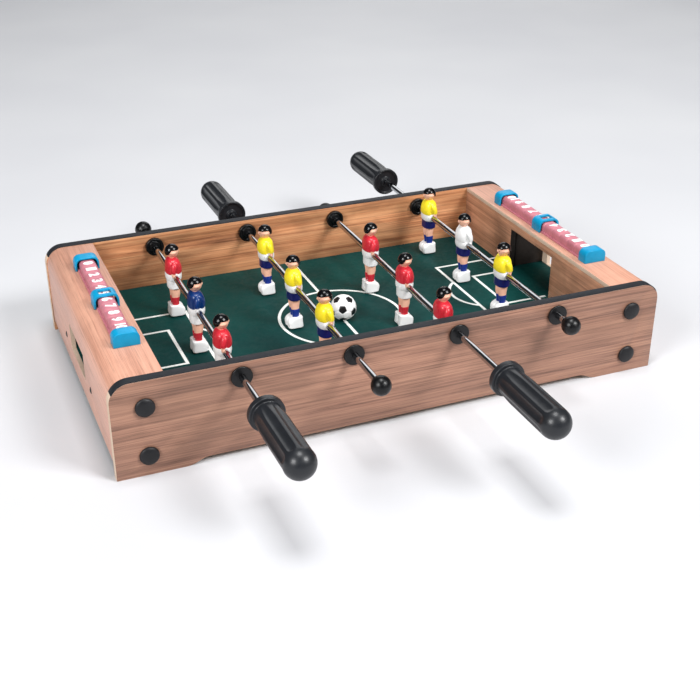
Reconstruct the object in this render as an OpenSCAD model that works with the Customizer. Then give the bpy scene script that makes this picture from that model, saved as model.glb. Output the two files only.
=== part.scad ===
// Table-top foosball table: a shallow open case on four feet, with four rods of figures
// that slide and turn in bushes, two goals, and a sliding score counter over each goal.
// Millimetres. +X runs from goal to goal, +Y from the front panel to the back one, +Z up.
// The origin is on the resting plane, below the centre spot of the playing field.

/* [Case] */
// Length of the side panels, from end to end
table_l = 510; // [490:1:540]
// Width over the outside of both side panels
table_w = 300; // [296:1:304]
// Height of the side panels
table_h = 88; // [87:0.5:92]
// Thickness of each side panel
panel_t = 9; // [9:0.5:10]
// Radius of the panels' top corners
corner_r = 17.5; // [14:0.5:20]
// Length of each foot along the bottom edge
foot_l = 59; // [45:1:70]
// Height of the bottom edge between the feet
foot_h = 5.5; // [3:0.5:8]
// Length of the wavy step from a foot to the raised edge
foot_step_l = 19; // [12:1:30]
// Thickness of the dark strip along the top edges
band_t = 0.8; // [0.5:0.1:1.2]
// Height where the dark strip ends on the rounded corners
band_end_z = 79; // [77:0.5:82]

/* [Playing field] */
// Height of the playing surface above the resting plane
field_z = 31.5; // [30:0.5:32]
// Thickness of the playing board
field_t = 3.5; // [2.5:0.5:4]
// Depth of the grooves that hold the board in the side panels
groove_d = 3; // [2:0.5:4]

/* [Goals] */
// Length of each end box, from its outer face to the goal board
end_l = 47; // [44:1:50]
// Thickness of each goal board
goal_board_t = 6; // [4:0.5:7]
// Width of the goal mouth
goal_w = 80; // [60:1:90]
// Height of the goal mouth above the field
goal_h = 44; // [36:1:46]
// Thickness of the curved end cover
cover_t = 4; // [3:0.5:4.5]
// Height of the end cover's lower edge
cover_bottom_z = 11; // [9:1:20]
// Width of the ball outlet in the end cover
outlet_w = 66; // [50:1:76]
// Height of the ball outlet
outlet_h = 26; // [26:1:32]

/* [Rods] */
// Distance between neighbouring rods
rod_pitch = 98; // [94:1:100]
// Height of the rods above the resting plane
rod_z = 74.5; // [74:0.5:76]
// Diameter of a rod
rod_d = 6; // [5:0.5:7]
// Free travel of every rod to each side of its middle position
rod_travel = 41; // [30:1:41]
// Where rod 1 rests, measured from its middle position
rest_1 = -15.5; // [-30:0.5:30]
// Where rod 2 rests
rest_2 = -3; // [-30:0.5:30]
// Where rod 3 rests
rest_3 = -38; // [-41:0.5:41]
// Where rod 4 rests
rest_4 = 30; // [-41:0.5:41]

/* [Figures] */
// Distance between neighbouring figures on a rod
figure_pitch = 81; // [78:1:82]
// Height of a figure's head above its rod
figure_up = 31; // [28:1:34]
// Reach of a figure's shoes below its rod
figure_down = 42; // [38:1:42]
// Diameter of the ball
ball_d = 25; // [20:1:26]

/* [Handles] */
// Length of a handle
handle_l = 89; // [80:1:105]
// Diameter of the handle's grip
grip_d = 26; // [22:0.5:27]
// Diameter of the collar at the root of the handle
collar_d = 30; // [28:0.5:32]
// Diameter of an end knob
knob_d = 17; // [14:0.5:18]

/* [Score counters] */
// Width of the counter's end pieces and slider
counter_w = 22.5; // [21:0.5:26]
// Length of the numbered bar between its end pieces
counter_l = 154; // [140:2:160]
// Width of the numbered bar
bar_w = 15; // [13:0.5:16]
// Length of the slider
slider_l = 15; // [14:1:24]
// Where both sliders rest along the bar
slider_rest = 3; // [-40:1:40]

/* [Hidden] */
$fn = 48;
half_l = table_l / 2;
half_w = table_w / 2;
inner_y = half_w - panel_t;
goal_x = half_l - end_l;
board_x = goal_x + goal_board_t;
groove_x = board_x + 0.1;
rod_x = [for (i = [0:3]) (i - 1.5) * rod_pitch];
rod_rest = [rest_1, rest_2, rest_3, rest_4];
rod_r = rod_d / 2;

// Clearances: a rod turning in its bushes, and a fixed piece around what it sits on
run_gap = 0.08;
fit_gap = 0.05;

// Fasteners: large round-headed bolts through the panels, small screws in the end covers
bolt_x = half_l - 28;
bolt_zs = [18.5, 63.5];
bolt_head_d = 16.5;
bolt_head_h = 4;
bolt_d = 6;
bolt_end = 18;
screw_y = 57;
screw_z = 35;
end_screw_d = 3;
end_screw_head_d = 6.5;
end_screw_head_h = 0.7;
end_screw_end = 12;
figure_screw_d = 2.4;
figure_back_x = -7.2;

// Bushes: sleeve through the panel, flange outside, ring inside
bush_d = 12;
bush_flange_d = 18.5;
bush_flange_t = 2.5;
bush_ring_t = 4.5;

// Handle and end knob, measured from the middle figure of their rod: at the ends of the
// travel they stop just short of the bushes
handle_at = half_w + bush_flange_t + rod_travel + 0.5;
knob_at = half_w + bush_flange_t + rod_travel + knob_d / 2 + 1.75;
knob_seat = 3;
knob_neck_d = 10;
grip_solid_l = 21.5;

// Blocks inside the end boxes
block_x = board_x;
block_l = 26;
block_w = 24;
block_zs = [8, 80];
jamb_y = goal_w / 2 + 2;
jamb_top_z = 70;

// The end cover lies flush with the top edges of the side panels, inside the dark strip
cover_top_z = table_h - band_t;
cover_x = half_l - band_t;
cover_r = corner_r - band_t;

// Score counter: the bar and the hollow end pieces stand on the end cover
bar_h = 10;
bar_foot_h = 1.5;
bar_tuck = 6;
counter_h = 12.5;
counter_wall_t = 1.8;
counter_x = goal_x + 17;
counter_end_l = 12;
counter_end_t = 2;
counter_r = 6;
bar_r = 4;
slide_gap = 0.3;

// ---- helpers ----

// A shaft or hole along Y from y0 to y1
module along_y(d, y0, y1) {
    translate([0, y0, 0]) rotate([-90, 0, 0]) cylinder(d = d, h = y1 - y0);
}

// A shaft or hole along X from x0 to x1
module along_x(d, x0, x1) {
    translate([x0, 0, 0]) rotate([0, 90, 0]) cylinder(d = d, h = x1 - x0);
}

// A box from its lowest corner to its highest
module box(lo, hi) {
    translate(lo) cube(hi - lo);
}

// An XZ outline given thickness along Y, from y0 to y1
module slab_y(y0, y1) {
    translate([0, y1, 0]) rotate([90, 0, 0]) linear_extrude(y1 - y0) children();
}

// Children drawn in the right-hand or back half, moved to the side asked for
module at_end(side) {
    if (side < 0) rotate([0, 0, 180]) children();
    else children();
}

module at_wall(side) {
    if (side < 0) mirror([0, 1, 0]) children();
    else children();
}

// ---- case ----

// Upright sheet with rounded top corners, drawn in from the top and the corners by the inset
module rounded_sheet(inset) {
    difference() {
        translate([-half_l, 0]) square([table_l, table_h - inset]);
        for (s = [-1, 1]) translate([s * (half_l - corner_r), table_h - corner_r]) difference() {
            translate([s > 0 ? 0 : -corner_r - 1, 0]) square(corner_r + 1);
            circle(r = corner_r - inset);
        }
    }
}

// What is cut away below the panel, between the wavy inner edges of its feet
module foot_gap() {
    step_n = 12;
    foot_x = half_l - foot_l;
    step = [for (k = [0:step_n]) [
        foot_x - foot_step_l * k / step_n,
        foot_h * (1 - cos(180 * k / step_n)) / 2
    ]];
    polygon(concat(step, [for (k = [step_n:-1:0]) [-step[k][0], step[k][1]]]));
}

// The dark strip: what the inset takes off above the height where the strip ends
module strip_outline() {
    intersection() {
        difference() {
            rounded_sheet(0);
            rounded_sheet(band_t);
        }
        translate([-half_l, band_end_z]) square([table_l, table_h]);
    }
}

module side_panel(side) {
    color([0.68, 0.50, 0.38]) at_wall(side) difference() {
        slab_y(inner_y, half_w) difference() {
            rounded_sheet(0);
            foot_gap();
            strip_outline();
        }
        // grooves and holes: the board, the four bushes and the four bolts
        box([-groove_x, inner_y - 1, field_z - field_t], [groove_x, inner_y + groove_d, field_z]);
        for (x = rod_x) translate([x, 0, rod_z]) along_y(bush_d + 2 * fit_gap, inner_y - 1, half_w + 1);
        for (s = [-1, 1], z = bolt_zs)
            translate([s * bolt_x, 0, z]) along_y(bolt_d + 2 * fit_gap, inner_y - 1, half_w + 1);
    }
}

module edge_strip(side) {
    color([0.22, 0.23, 0.26]) at_wall(side) slab_y(inner_y, half_w) strip_outline();
}

// The board: full width between the goal boards, narrow tongues as the goals' floors
module playing_field() {
    wide_y = inner_y + groove_d;
    tongue_y = jamb_y + block_w;
    color([0.05, 0.30, 0.24]) {
        box([-board_x, -wide_y, field_z - field_t], [board_x, wide_y, field_z]);
        for (s = [-1, 1]) at_end(s)
            box([board_x, -tongue_y, field_z - field_t], [cover_x - cover_t, tongue_y, field_z]);
    }
}

module goal_board(side) {
    color([0.72, 0.53, 0.38]) at_end(side) difference() {
        box([goal_x, -inner_y, field_z], [board_x, inner_y, cover_top_z - cover_t]);
        box([goal_x - 1, -goal_w / 2, field_z - 1], [board_x + 1, goal_w / 2, field_z + goal_h]);
    }
}

// Cross-section of the end cover in the XZ plane: top, rounded corner and outer face
module cover_profile() {
    centre = [cover_x - cover_r, cover_top_z - cover_r];
    translate([goal_x, cover_top_z - cover_t]) square([centre[0] - goal_x, cover_t]);
    translate([cover_x - cover_t, cover_bottom_z]) square([cover_t, centre[1] - cover_bottom_z]);
    translate(centre) intersection() {
        difference() {
            circle(r = cover_r);
            circle(r = cover_r - cover_t);
        }
        square(cover_r + 1);
    }
}

module end_cover(side) {
    color([0.85, 0.66, 0.53]) at_end(side) difference() {
        slab_y(-inner_y, inner_y) cover_profile();
        box(
            [cover_x - cover_t - 1, -outlet_w / 2, field_z],
            [cover_x + 1, outlet_w / 2, field_z + outlet_h]
        );
        for (s = [-1, 1])
            translate([0, s * screw_y, screw_z])
                along_x(end_screw_d + 2 * fit_gap, cover_x - cover_t - 1, cover_x + 1);
    }
}

// Block in a corner of the end box, which takes the ends of two panel bolts
module corner_block(end, side) {
    color([0.80, 0.66, 0.47]) at_wall(side) at_end_x(end) difference() {
        box([block_x, inner_y - block_w, block_zs[0]], [block_x + block_l, inner_y, block_zs[1]]);
        for (z = bolt_zs)
            translate([bolt_x, 0, z]) along_y(bolt_d + 2 * fit_gap, inner_y - bolt_end - 1, inner_y + 1);
    }
}

// Children drawn at the right-hand end, mirrored to the left one if asked
module at_end_x(end) {
    if (end < 0) mirror([1, 0, 0]) children();
    else children();
}

// Cheek beside the goal mouth, which guides the ball to the outlet and takes an end screw
module goal_jamb(end, side) {
    hole_x = cover_x - cover_t - end_screw_end - 1;
    color([0.16, 0.13, 0.11]) at_wall(side) at_end_x(end) difference() {
        box(
            [board_x, jamb_y, field_z],
            [cover_x - cover_t, jamb_y + block_w, jamb_top_z]
        );
        translate([0, screw_y, screw_z])
            along_x(end_screw_d + 2 * fit_gap, hole_x, cover_x - cover_t + 1);
    }
}

// Domed head with a plain shank, pointing along -Z from the face it sits on
module round_head(head_d, head_h, shank_d, shank_l) {
    ball_r = (pow(head_d / 2, 2) + pow(head_h, 2)) / (2 * head_h);
    difference() {
        translate([0, 0, head_h - ball_r]) sphere(r = ball_r, $fn = 64);
        translate([0, 0, -2 * ball_r]) cylinder(r = 2 * ball_r, h = 2 * ball_r);
    }
    translate([0, 0, -shank_l]) cylinder(d = shank_d, h = shank_l + head_h / 2);
}

module frame_bolts() {
    color([0.10, 0.10, 0.11])
        for (side = [-1, 1], s = [-1, 1], z = bolt_zs) at_wall(side)
            translate([s * bolt_x, half_w, z]) rotate([-90, 0, 0])
                round_head(bolt_head_d, bolt_head_h, bolt_d, panel_t + bolt_end);
}

module end_screws() {
    color([0.12, 0.12, 0.13])
        for (end = [-1, 1], s = [-1, 1]) at_end(end)
            translate([cover_x, s * screw_y, screw_z]) rotate([0, 90, 0])
                round_head(end_screw_head_d, end_screw_head_h, end_screw_d, cover_t + end_screw_end);
}

// ---- bushes ----

module at_each_rod(side) {
    at_wall(side) for (x = rod_x) translate([x, 0, rod_z]) children();
}

// Sleeve with an outside flange, bored for the rod
module bushes(side) {
    sleeve_end_y = inner_y - bush_ring_t;
    color([0.07, 0.07, 0.08]) at_each_rod(side) difference() {
        union() {
            along_y(bush_d, sleeve_end_y, half_w + bush_flange_t);
            along_y(bush_flange_d, half_w, half_w + bush_flange_t);
        }
        along_y(rod_d + 2 * run_gap, sleeve_end_y - 1, half_w + bush_flange_t + 1);
    }
}

// Ring pushed over the sleeve's inner end, which holds the bush and is the figures' buffer
module bush_rings(side) {
    color([0.07, 0.07, 0.08]) at_each_rod(side) difference() {
        along_y(bush_flange_d, inner_y - bush_ring_t, inner_y);
        along_y(bush_d + 2 * fit_gap, inner_y - bush_ring_t - 1, inner_y + 1);
    }
}

// ---- rods ----

// Children drawn about the axis of rod i, with its handle towards -Y for rods 1 and 3
// and towards +Y for rods 2 and 4; y = 0 is the middle figure
module on_rod(i) {
    translate([rod_x[i], rod_rest[i], rod_z]) children();
}

module handle_side(i) {
    if (i % 2 == 0) rotate([0, 0, 180]) children();
    else children();
}

module rod(i) {
    color([0.80, 0.81, 0.83]) on_rod(i) handle_side(i)
        along_y(rod_d, -knob_at - knob_seat, handle_at + handle_l - grip_solid_l - 0.5);
}

// Grip: collar dished around a hub, tapered barrel with wide flutes, domed end, blind bore
module handle(i) {
    collar_t = 6;
    dish_d = 2.5;
    taper_y = 26;
    root_r = grip_d / 2 - 1.2;
    dome_r = grip_d / 2;
    flute_d = 14.6;
    flute_at = dome_r + 5.8;
    flute_ys = [collar_t + 6, handle_l - dome_r - 4];
    color([0.09, 0.09, 0.10]) on_rod(i) handle_side(i) translate([0, handle_at, 0]) difference() {
        rotate([-90, 0, 0]) rotate_extrude($fn = 96) {
            polygon([
                [0, 0], [5.5, 0], [5.5, dish_d], [collar_d / 2 - 2, dish_d], [collar_d / 2 - 2, 0],
                [collar_d / 2 - 0.8, 0], [collar_d / 2, 0.8], [collar_d / 2, collar_t - 1],
                [collar_d / 2 - 1, collar_t], [root_r, collar_t], [dome_r, taper_y],
                [dome_r, handle_l - dome_r], [0, handle_l - dome_r]
            ]);
            translate([0, handle_l - dome_r]) intersection() {
                circle(r = dome_r);
                square(dome_r);
            }
        }
        for (a = [22.5:45:359]) rotate([0, a, 0]) translate([flute_at, 0, 0]) {
            along_y(flute_d, flute_ys[0], flute_ys[1]);
            for (y = flute_ys) translate([0, y, 0]) sphere(d = flute_d);
        }
        along_y(rod_d + 2 * fit_gap, -1, handle_l - grip_solid_l);
    }
}

// Ball knob on the rod's other end, with a blind bore
module end_knob(i) {
    color([0.07, 0.07, 0.08]) on_rod(i) handle_side(i) difference() {
        union() {
            translate([0, -knob_at, 0]) sphere(d = knob_d, $fn = 64);
            along_y(knob_neck_d, -knob_at + 4, -knob_at + knob_d / 2);
        }
        along_y(rod_d + 2 * run_gap, -knob_at - knob_seat - 0.3, -knob_at + knob_d);
    }
}

// ---- figures ----

// Front view of a figure: shoulders, waist, shorts, legs and shoes, y across and z up
module figure_front() {
    half = [
        [3.2, 20], [3.4, 16.5], [8, 16], [11, 13.5], [11.8, 9], [11, 2], [9.5, -1], [8.2, -3.5],
        [8.8, -13], [6.2, -14], [5.8, -24], [5, -30], [6.8, -31], [7.4, -35], [7.5, -43]
    ];
    polygon(concat(half, [for (k = [len(half) - 1:-1:0]) [-half[k][0], half[k][1]]]));
}

// Side view of a figure that faces +X
module figure_side() {
    polygon([
        [3, 20], [3.4, 17], [5.4, 14.5], [6.8, 10], [7.6, 4], [7.4, -4], [6.6, -5.5], [6.6, -13],
        [5, -14.5], [4.6, -29], [6, -31], [7.4, -35], [7.8, -43], [-7, -43], [-6.6, -35],
        [-5.4, -31], [-4.6, -29], [-4.8, -14.5], [-6.4, -13], [-6.4, -5.5], [figure_back_x, -4],
        [figure_back_x, 4], [-6.4, 10], [-5, 14.5], [-3.4, 17], [-3, 20]
    ]);
}

// One figure about its rod: head, moulded body and hole, standing at the place asked for
module figure(i, place, team_color) {
    facing = i % 2 == 0 ? 0 : 180;
    head_r = 7;
    color(team_color) on_rod(i) translate([0, place * figure_pitch, 0]) rotate([0, 0, facing])
        difference() {
            union() {
                translate([0.5, 0, figure_up - head_r]) sphere(r = head_r);
                intersection() {
                    rotate([90, 0, 90]) translate([0, 0, -12]) linear_extrude(24) figure_front();
                    slab_y(-13, 13) figure_side();
                    along_y(2 * (figure_down + 0.4), -13, 13);
                    translate([-20, -20, -figure_down]) cube([40, 40, 80]);
                }
            }
            along_y(rod_d + 2 * fit_gap, -13, 13);
            // screw hole from the figure's back to the rod
            along_x(figure_screw_d + 2 * fit_gap, -9, 0);
        }
}

// Small screws that pin the figures of one rod to it, from the figures' backs
module figure_screws(i) {
    facing = i % 2 == 0 ? 0 : 180;
    color([0.55, 0.55, 0.58]) on_rod(i)
        for (place = [-1:1]) translate([0, place * figure_pitch, 0]) rotate([0, 0, facing])
            along_x(figure_screw_d, figure_back_x + 0.3, -rod_r - 0.02);
}

module ball() {
    color([0.93, 0.93, 0.92])
        translate([0, -6, field_z + ball_d / 2 + 0.2]) sphere(d = ball_d, $fn = 96);
}

// ---- score counters ----

// Outline in the XZ plane with rounded top corners, standing on its lower edge
module rounded_top(w, h, r) {
    translate([-w / 2, 0]) square([w, h - r]);
    translate([-w / 2 + r, 0]) square([w - 2 * r, h]);
    for (s = [-1, 1]) translate([s * (w / 2 - r), h - r]) circle(r = r);
}

// Hollow shell with open ends, wide enough inside for the foot of the bar
module counter_shell(h) {
    inner_w = counter_w - 2 * counter_wall_t;
    difference() {
        rounded_top(counter_w, h, counter_r);
        translate([0, -1]) rounded_top(inner_w, h - counter_wall_t + 1, counter_r - 1.5);
    }
}

module on_counter(end) {
    at_end(end) translate([counter_x, 0, cover_top_z]) children();
}

// Bar with a wider foot that guides the slider, tucked into both end pieces
module score_bar(end) {
    foot_w = counter_w - 2 * (counter_wall_t + slide_gap);
    half_bar = counter_l / 2 + bar_tuck;
    color([0.85, 0.52, 0.60]) on_counter(end) slab_y(-half_bar, half_bar) {
        rounded_top(bar_w, bar_h, bar_r);
        translate([-foot_w / 2, 0]) square([foot_w, bar_foot_h]);
    }
}

// Hollow end pieces, closed at their outer ends, over the ends of the bar
module score_ends(end) {
    y0 = counter_l / 2;
    color([0.05, 0.62, 0.86]) on_counter(end) for (s = [-1, 1]) at_wall(s) {
        slab_y(y0, y0 + counter_end_l) counter_shell(counter_h);
        slab_y(y0 + counter_end_l - counter_end_t, y0 + counter_end_l)
            rounded_top(counter_w, counter_h, counter_r);
    }
}

// Shell that slides along the bar, with a window over one number
module score_slider(end) {
    window = [11, 8];
    color([0.05, 0.62, 0.86]) on_counter(end) translate([0, slider_rest, slide_gap]) difference() {
        slab_y(-slider_l / 2, slider_l / 2) counter_shell(counter_h);
        translate([-window[0] / 2, -window[1] / 2, 5]) cube([window[0], window[1], counter_h]);
    }
}

// ---- the table ----

walls = [["front", -1], ["back", 1]];
ends = [["left", -1], ["right", 1]];
places = [["front", -1], ["middle", 0], ["back", 1]];
red_shirt = [0.80, 0.16, 0.22];
blue_shirt = [0.10, 0.20, 0.62];
yellow_shirt = [0.95, 0.78, 0.25];
white_shirt = [0.95, 0.95, 0.95];

function shirt(i, place) =
    place == 0 && i == 0 ? blue_shirt :
    place == 0 && i == 3 ? white_shirt :
    i % 2 == 0 ? red_shirt : yellow_shirt;

for (w = walls) {
    side_panel(w[1]);
    edge_strip(w[1]);
    bushes(w[1]);
    bush_rings(w[1]);
}
playing_field();
for (e = ends) {
    goal_board(e[1]);
    end_cover(e[1]);
    for (w = walls) {
        corner_block(e[1], w[1]);
        goal_jamb(e[1], w[1]);
    }
    score_bar(e[1]);
    score_ends(e[1]);
    score_slider(e[1]);
}
frame_bolts();
end_screws();
for (i = [0:3]) {
    rod(i);
    handle(i);
    end_knob(i);
    for (p = places)
        figure(i, p[1], shirt(i, p[1]));
    figure_screws(i);
}
ball();
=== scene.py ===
"""A table-top foosball table: its looks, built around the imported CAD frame.

Metres, in the frame's own axes: +X from goal to goal, +Y from the front panel to the back
one, +Z up. Shapes are written in millimetres and scaled by MM where meshes are made.
"""

import math

import bmesh
import bpy
from mathutils import Matrix, Vector


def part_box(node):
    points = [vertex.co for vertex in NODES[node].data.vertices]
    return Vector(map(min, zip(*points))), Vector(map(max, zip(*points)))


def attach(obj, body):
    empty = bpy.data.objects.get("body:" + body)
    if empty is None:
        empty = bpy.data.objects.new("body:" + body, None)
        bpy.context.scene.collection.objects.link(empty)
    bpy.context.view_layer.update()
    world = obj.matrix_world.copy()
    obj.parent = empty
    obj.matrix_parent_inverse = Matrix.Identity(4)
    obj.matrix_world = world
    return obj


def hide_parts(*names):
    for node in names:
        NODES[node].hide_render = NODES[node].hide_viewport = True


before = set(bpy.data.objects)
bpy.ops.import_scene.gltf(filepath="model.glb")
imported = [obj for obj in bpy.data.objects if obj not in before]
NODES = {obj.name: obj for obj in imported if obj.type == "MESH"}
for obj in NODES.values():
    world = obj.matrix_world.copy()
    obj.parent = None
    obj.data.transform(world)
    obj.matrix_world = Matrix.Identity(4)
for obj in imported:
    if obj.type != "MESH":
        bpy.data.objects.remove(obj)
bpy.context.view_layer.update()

MM = 0.001
RODS = (1, 2, 3, 4)
WALLS = {"front": -1, "back": 1}
ENDS = {"left": -1, "right": 1}
PLACES = ("front", "middle", "back")
FACES_AXIS = 0.7    # least part of a face's normal along the axis that it looks along
BORE_R = 3.08       # bore of every part that a rod runs or sits in, mm


def box_mm(node):
    """Lowest and highest corners of a CAD node, in millimetres."""
    low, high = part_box(node)
    return low / MM, high / MM


def rod_axis(rod):
    """X and Z of a rod's axis, in millimetres."""
    low, high = box_mm(f"rod_{rod}")
    return (low.x + high.x) / 2, (low.z + high.z) / 2


def handle_side(rod):
    """-1 where the rod's handle is at the front, 1 where it is at the back."""
    return -1 if box_mm(f"handle_{rod}")[0].y < 0 else 1


def facing(rod):
    """1 where the rod's figures face +X, -1 where they face -X: opposite their handles."""
    return -handle_side(rod)


# ---------------------------------------------------------------- mesh helpers

def smoothstep(low, high, value):
    """0 below low, 1 above high, and a smooth rise between."""
    t = min(max((value - low) / (high - low), 0.0), 1.0)
    return t * t * (3 - 2 * t)


def mesh_object(name, shells, materials, sharp_deg=40):
    """One object from shells of (vertices in mm, faces, material index)."""
    mesh = bpy.data.meshes.new(name)
    verts, faces, indices = [], [], []
    for points, quads, index in shells:
        start = len(verts)
        verts += [Vector(p) * MM for p in points]
        faces += [[start + i for i in quad] for quad in quads]
        indices += [index] * len(quads) if isinstance(index, int) else index
    mesh.from_pydata(verts, [], faces)
    for material in materials:
        mesh.materials.append(material)
    mesh.polygons.foreach_set("material_index", indices)
    tidy_normals(mesh, sharp_deg)
    obj = bpy.data.objects.new(name, mesh)
    bpy.context.scene.collection.objects.link(obj)
    return obj


def tidy_normals(mesh, sharp_deg):
    """Consistent outward normals, and smooth shading broken at real edges."""
    bm = bmesh.new()
    bm.from_mesh(mesh)
    bmesh.ops.recalc_face_normals(bm, faces=bm.faces)
    bm.to_mesh(mesh)
    bm.free()
    mesh.shade_smooth()
    mesh.set_sharp_from_angle(angle=math.radians(sharp_deg))


def place(obj, body, slot, *nodes):
    """Puts a finished piece on its body, in place of CAD nodes. The slot is not used."""
    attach(obj, body)
    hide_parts(*nodes)
    return obj


def moved(points, matrix):
    """The points after a move or turn."""
    return [matrix @ Vector(p) for p in points]


def lathe(profile, centre, segments=72):
    """Shell turned about the Y axis through centre, from (radius, y) rows. Ends on the axis
    close in a point, and open ends join to each other, as in a ring."""
    cx, cy, cz = centre
    verts, rings = [], []
    for radius, y in profile:
        if radius < 1e-6:
            rings.append([len(verts)] * segments)
            verts.append((cx, cy + y, cz))
            continue
        rings.append(list(range(len(verts), len(verts) + segments)))
        for k in range(segments):
            a = 2 * math.pi * k / segments
            verts.append((cx + radius * math.cos(a), cy + y, cz + radius * math.sin(a)))
    pairs = list(zip(rings, rings[1:]))
    if profile[0][0] > 1e-6 and profile[-1][0] > 1e-6:
        pairs.append((rings[-1], rings[0]))
    return verts, bands(pairs, segments)


def bands(ring_pairs, segments):
    """Faces between neighbouring closed rings, with triangles where a ring is one point."""
    faces = []
    for a, b in ring_pairs:
        for k in range(segments):
            n = (k + 1) % segments
            quad = [a[k], a[n], b[n], b[k]]
            faces.append([v for i, v in enumerate(quad) if v not in quad[:i]])
    return faces


def rounded(points, radius, steps=4):
    """An open outline with the corners between its two ends rounded off."""
    result = [points[0]]
    for before, corner, after in zip(points, points[1:], points[2:]):
        b, c, a = Vector(before), Vector(corner), Vector(after)
        reach = min(radius, (b - c).length * 0.45, (a - c).length * 0.45)
        start = c + (b - c).normalized() * reach
        end = c + (a - c).normalized() * reach
        for k in range(steps + 1):
            t = k / steps
            result.append(tuple(start * (1 - t) ** 2 + c * 2 * t * (1 - t) + end * t * t))
    result.append(points[-1])
    return result


def spline_rows(rows, steps=5):
    """Catmull-Rom rows through the given ones, so that a loft has no facets."""
    result = []
    for i in range(len(rows) - 1):
        p = [rows[max(i - 1, 0)], rows[i], rows[i + 1], rows[min(i + 2, len(rows) - 1)]]
        for k in range(steps):
            t = k / steps
            result.append([
                0.5 * (2 * b + (c - a) * t + (2 * a - 5 * b + 4 * c - d) * t ** 2
                       + (3 * b - a - 3 * c + d) * t ** 3)
                for a, b, c, d in zip(*p)
            ])
    result.append(list(rows[-1]))
    return result


def loft(rows, power=2.3, segments=40, steps=5):
    """Closed shell through level superellipses, from rows of (z, half x, half y, x, y)."""
    verts, rings = [], []
    rows = spline_rows(rows, steps)
    for z, half_x, half_y, x, y in rows:
        rings.append(list(range(len(verts), len(verts) + segments)))
        for k in range(segments):
            a = 2 * math.pi * k / segments
            c, s = math.cos(a), math.sin(a)
            verts.append((
                x + half_x * math.copysign(abs(c) ** (2 / power), c),
                y + half_y * math.copysign(abs(s) ** (2 / power), s),
                z,
            ))
    for z, _, _, x, y in (rows[0], rows[-1]):
        verts.append((x, y, z))
    caps = [([len(verts) - 2] * segments, rings[0]), (rings[-1], [len(verts) - 1] * segments)]
    return verts, bands(caps + list(zip(rings, rings[1:])), segments)


def tube(path, radii, segments=20, steps=5):
    """Closed shell around a smooth path with a changing radius, with rounded ends."""
    rows = spline_rows([[*p, r] for p, r in zip(path, radii)], steps)
    centres = [Vector(row[:3]) for row in rows]
    verts, rings = [], []
    for i, row in enumerate(rows):
        along = (centres[min(i + 1, len(rows) - 1)] - centres[max(i - 1, 0)]).normalized()
        side = along.cross(Vector((1, 0, 0))).normalized()
        up = side.cross(along)
        rings.append(list(range(len(verts), len(verts) + segments)))
        for k in range(segments):
            a = 2 * math.pi * k / segments
            verts.append(centres[i] + (side * math.cos(a) + up * math.sin(a)) * row[3])
    verts += [centres[0], centres[-1]]
    caps = [([len(verts) - 2] * segments, rings[0]), (rings[-1], [len(verts) - 1] * segments)]
    return verts, bands(caps + list(zip(rings, rings[1:])), segments)


def softened(node, name, radius, materials, pick, segments=2):
    """A copy of a CAD node with its edges rounded, and a material for each face.

    pick(centre, normal) gives the index of a face's material, from its centre in mm."""
    bm = bmesh.new()
    bm.from_mesh(NODES[node].data)
    bmesh.ops.remove_doubles(bm, verts=bm.verts, dist=1e-6)
    bmesh.ops.dissolve_limit(
        bm, angle_limit=math.radians(0.3), verts=bm.verts, edges=bm.edges
    )
    source = bpy.data.meshes.new(name)
    bm.to_mesh(source)
    bm.free()
    temp = bpy.data.objects.new(name + ".temp", source)
    bpy.context.scene.collection.objects.link(temp)
    bevel = temp.modifiers.new("round", "BEVEL")
    bevel.width = radius * MM
    bevel.segments = segments
    bevel.limit_method = "ANGLE"
    bevel.angle_limit = math.radians(35)
    bevel.use_clamp_overlap = True
    ready = temp.evaluated_get(bpy.context.evaluated_depsgraph_get())
    mesh = bpy.data.meshes.new_from_object(ready)
    bpy.data.objects.remove(temp)
    mesh.materials.clear()
    for material in materials:
        mesh.materials.append(material)
    for face in mesh.polygons:
        face.material_index = pick(face.center / MM, face.normal)
    mesh.shade_smooth()
    mesh.set_sharp_from_angle(angle=math.radians(30))
    obj = bpy.data.objects.new(name, mesh)
    bpy.context.scene.collection.objects.link(obj)
    return obj


# ---------------------------------------------------------------- material helpers

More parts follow.
